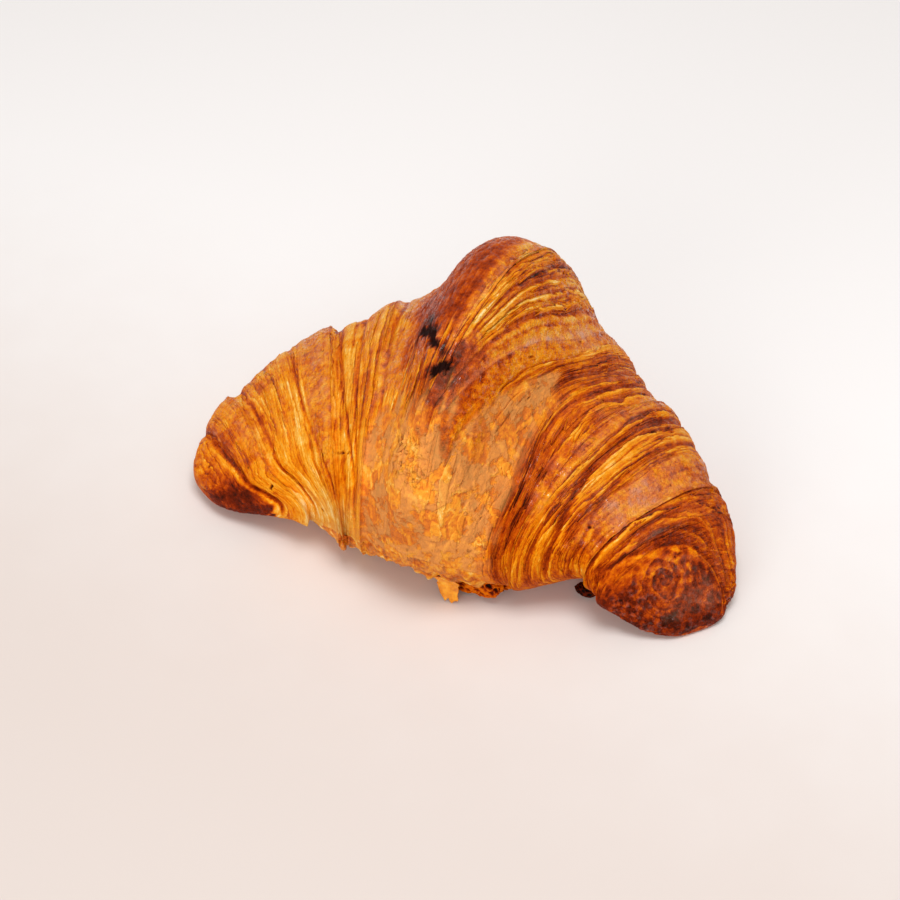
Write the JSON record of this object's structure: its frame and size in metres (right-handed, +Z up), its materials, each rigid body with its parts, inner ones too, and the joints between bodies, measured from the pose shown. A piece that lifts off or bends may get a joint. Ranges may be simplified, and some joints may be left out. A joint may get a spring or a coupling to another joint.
{
  "type": "croissant",
  "caption": "Golden baked butter croissant, a tapered crescent of rolled layered dough with a high knob in the middle and rounded browned tips.",
  "frame": {"origin": "centre of the bounding box at its bottom, on the plane the belly rests on", "axes": "+X along the crescent from the left tip to the right tip, +Y toward the outer back curve, tips bend toward -Y, +Z up"},
  "size_m": [0.1651, 0.1026, 0.0848],
  "materials": {
    "baked_crust": "egg-washed flaky crust, golden on the layers, red brown on the wrap edges and tips"
  },
  "bodies": {
    "root": {"croissant": "baked_crust"}
  },
  "joints": []
}
